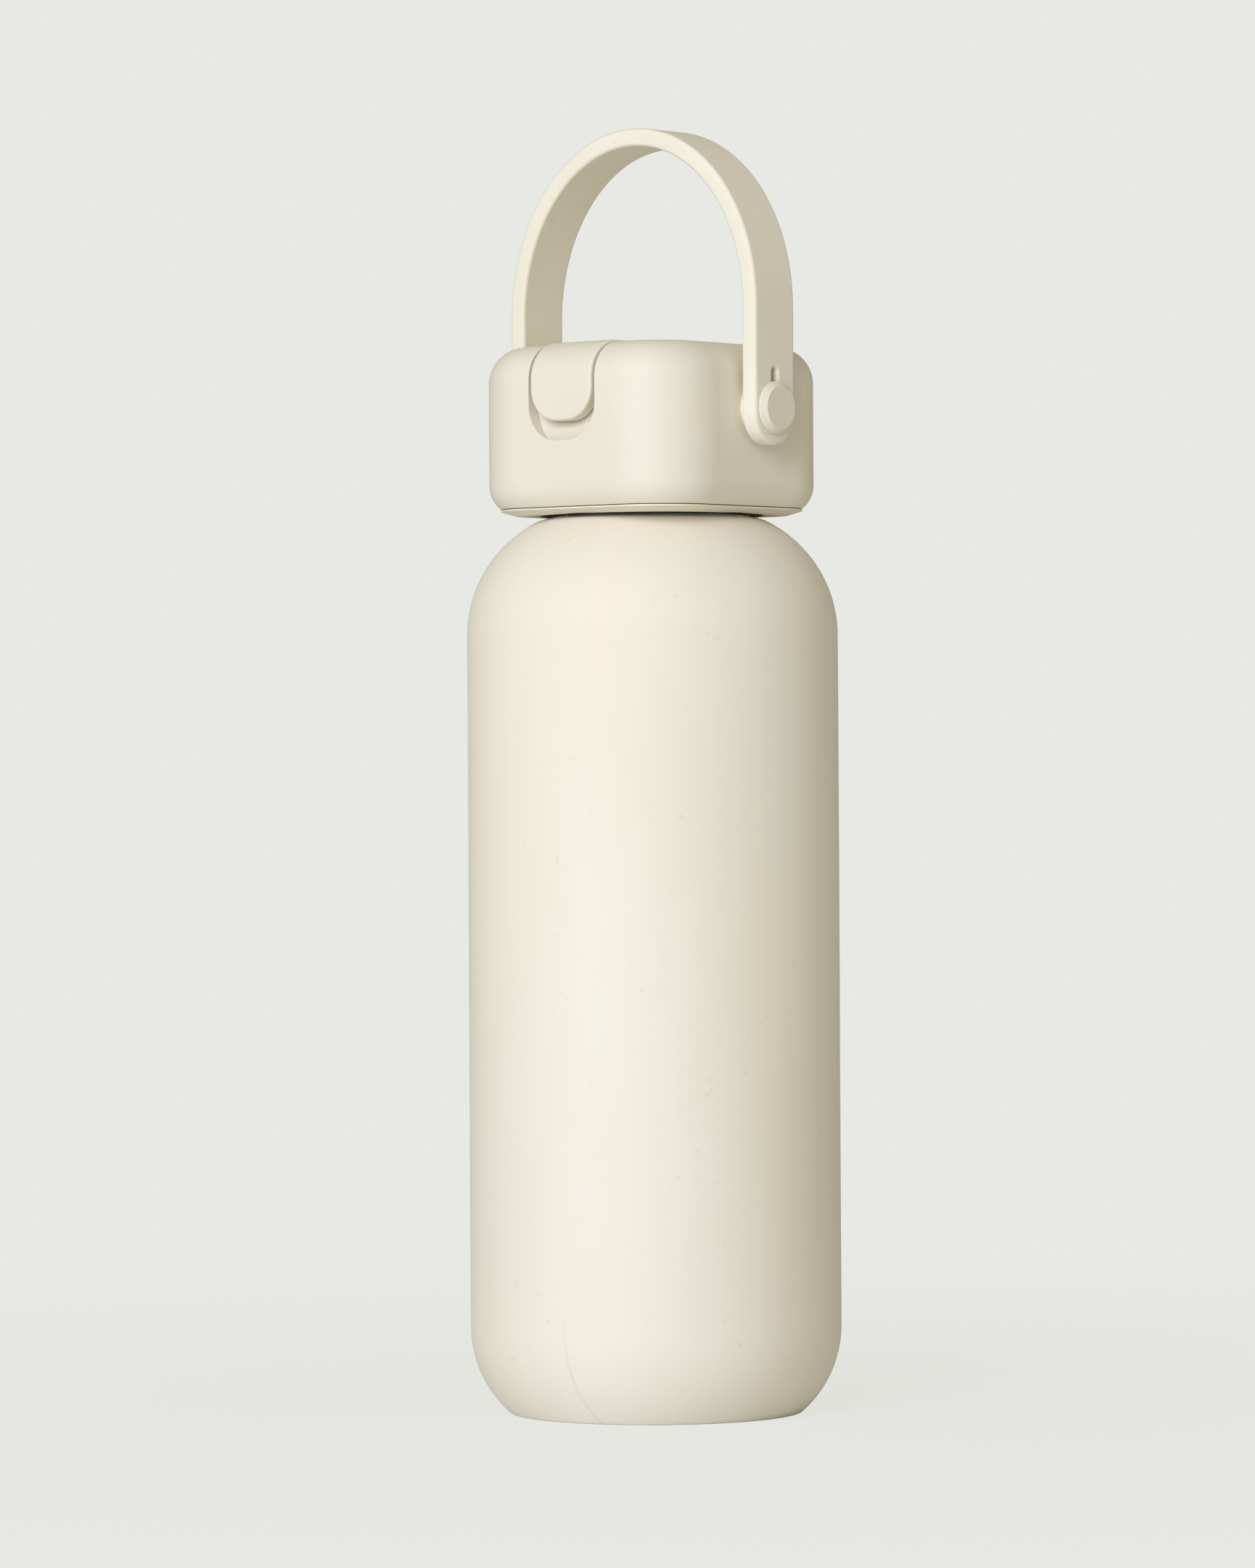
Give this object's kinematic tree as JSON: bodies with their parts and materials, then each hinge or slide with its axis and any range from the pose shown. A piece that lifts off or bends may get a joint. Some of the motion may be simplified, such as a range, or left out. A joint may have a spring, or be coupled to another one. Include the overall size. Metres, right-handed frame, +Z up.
{
  "type": "glass water bottle",
  "caption": "Round glass water bottle in a full silicone sleeve, with a rounded-square screw lid, flip cover over a drinking spout, and a swinging carry strap.",
  "frame": {"origin": "centre of the foot, on the surface that the bottle stands on", "axes": "+Z up along the bottle, -Y towards the front with the flip cover's tab, +X towards the right strap stud"},
  "size_m": [0.075, 0.075, 0.259],
  "materials": {
    "bottle_glass": "clear, fire-polished rim",
    "sleeve_silicone": "matte soft-touch silicone, faint vertical mottling",
    "strap_silicone": "matte silicone",
    "seal_silicone": "translucent white silicone",
    "lid_plastic": "fine matte polypropylene",
    "stud_plastic": "fine matte polypropylene",
    "liner_plastic": "natural white polypropylene",
    "pin_steel": "drawn stainless steel",
    "screw_steel": "stainless steel"
  },
  "bodies": {
    "bottle": {"glass_bottle": "bottle_glass", "protective_sleeve": "sleeve_silicone"},
    "lid_seal": {"neck_gasket": "seal_silicone"},
    "lid": {"lid_shell": "lid_plastic", "lid_base": "lid_plastic", "inner_cap": "liner_plastic", "spout": "liner_plastic", "spout_o_ring": "seal_silicone", "hinge_pin": "pin_steel", "strap_stud_right": "stud_plastic", "strap_stud_left": "stud_plastic", "stud_screw_right": "screw_steel", "stud_screw_left": "screw_steel"},
    "flip": {"flip_cover": "lid_plastic", "spout_plug": "seal_silicone"},
    "strap": {"carry_strap": "strap_silicone"}
  },
  "joints": [
    {"name": "lid_lift", "type": "slide", "parent": "bottle", "child": "lid_seal", "axis": [0, 0, 1], "range_m": [0, 0.01601]},
    {"name": "lid_turn", "type": "hinge", "parent": "lid_seal", "child": "lid", "pos_m": [0, 0, 0.19252], "axis": [0, 0, 1], "range_deg": [0, 1440]},
    {"name": "flip_open", "type": "hinge", "parent": "lid", "child": "flip", "pos_m": [0, 0.009, 0.21162], "axis": [-1, 0, 0], "range_deg": [0, 119]},
    {"name": "strap_swing", "type": "hinge", "parent": "lid", "child": "strap", "pos_m": [0, 0, 0.20162], "axis": [1, 0, 0], "range_deg": [-125, 125]}
  ],
  "couplings": [
    {"joint": "lid_lift", "follows": "lid_turn", "m_per_rad": 0.00063662}
  ]
}
